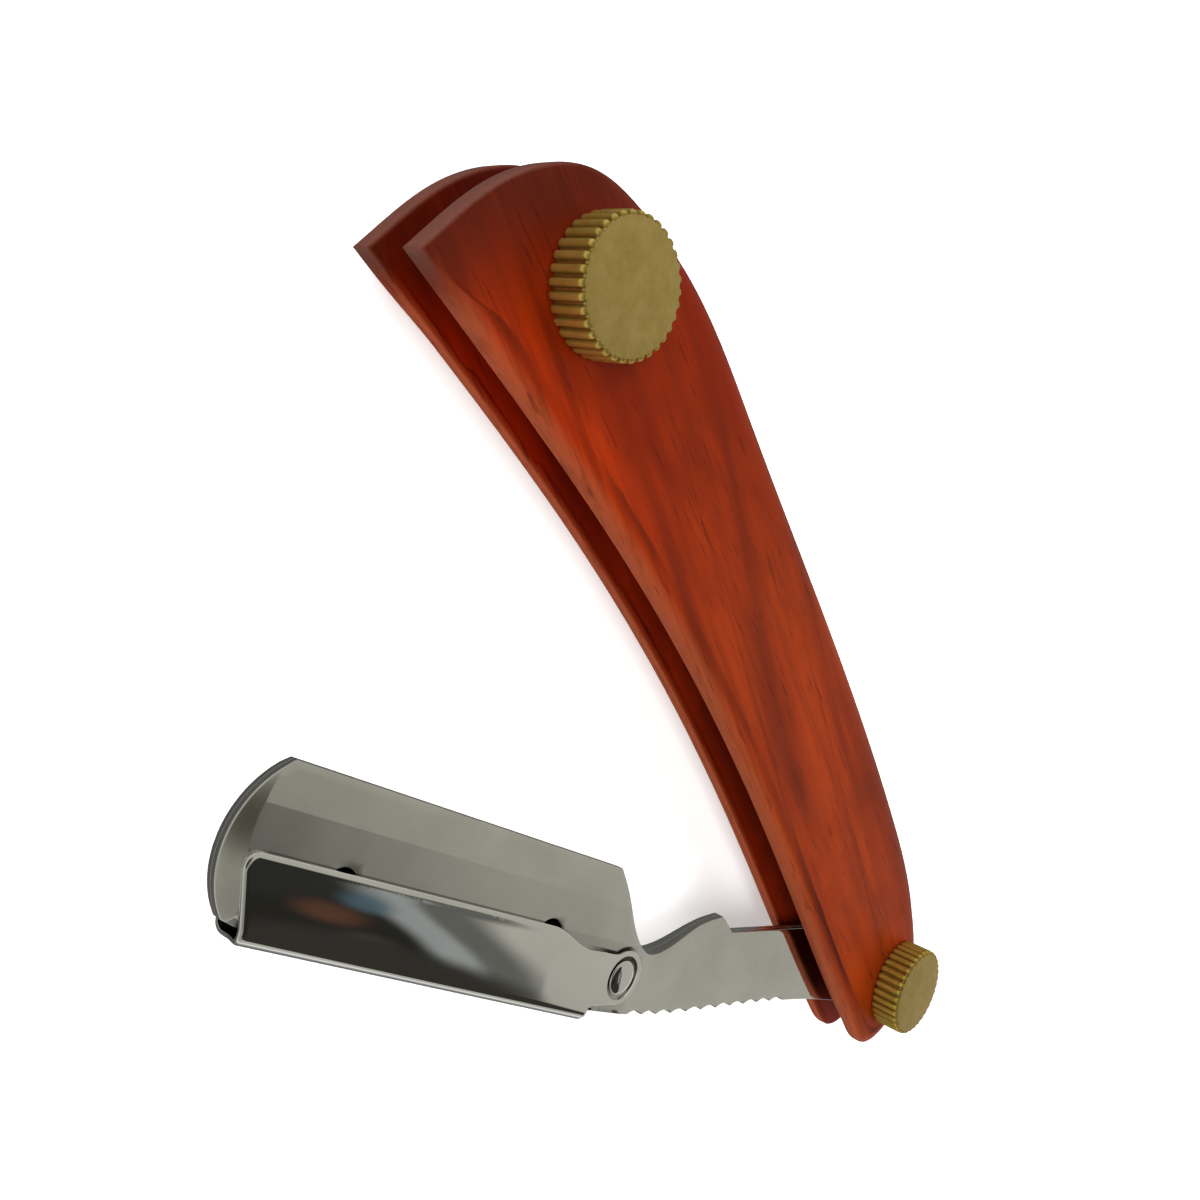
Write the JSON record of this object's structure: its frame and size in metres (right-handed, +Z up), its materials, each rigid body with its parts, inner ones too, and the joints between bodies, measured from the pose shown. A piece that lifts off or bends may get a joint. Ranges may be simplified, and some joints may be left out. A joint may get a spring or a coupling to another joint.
{
  "type": "straight razor",
  "caption": "Folding straight razor with wooden scales on knurled brass screws and a steel holder whose swinging clip locks in a disposable half blade.",
  "frame": {"origin": "centre of the lower pivot nut's outer flat face, which rests on the surface", "axes": "+Z up along the pivot axis, +Y along the handle from the pivot to the top screw, blade holder towards -X"},
  "size_m": [0.0712, 0.14, 0.0172],
  "materials": {
    "wood": "satin varnish",
    "brass": "satin",
    "holder_steel": "fine satin polish",
    "polished_steel": "mirror polish"
  },
  "bodies": {
    "handle": {"scale_front": "wood", "scale_back": "wood", "pivot_stud": "brass", "pivot_nut_back": "brass", "top_stud": "brass", "top_nut_back": "brass", "pivot_washer_front": "brass", "pivot_washer_back": "brass", "top_spacer": "brass"},
    "pivot_nut": {"pivot_nut_front": "brass"},
    "top_nut": {"top_nut_front": "brass"},
    "holder": {"holder_plate_front": "holder_steel", "holder_plate_back": "holder_steel", "blade_pin_heel": "holder_steel", "blade_pin_nose": "holder_steel", "clip_rivet": "polished_steel"},
    "clip": {"locking_clip": "polished_steel"}
  },
  "joints": [
    {"name": "holder_fold", "type": "hinge", "parent": "handle", "child": "holder", "pos_m": [0, 0, 0.0086], "axis": [0, 0, 1], "range_deg": [-24, 330]},
    {"name": "clip_swing", "type": "hinge", "parent": "holder", "child": "clip", "pos_m": [-0.03363, 0.05383, 0.0086], "axis": [0, 0, 1], "range_deg": [0, 90]},
    {"name": "pivot_nut_turn", "type": "hinge", "parent": "handle", "child": "pivot_nut", "pos_m": [0, 0, 0.0151], "axis": [0, 0, 1], "range_deg": [0, 360]},
    {"name": "top_nut_turn", "type": "hinge", "parent": "handle", "child": "top_nut", "pos_m": [0, 0.12, 0.0151], "axis": [0, 0, 1], "range_deg": [0, 360]}
  ]
}
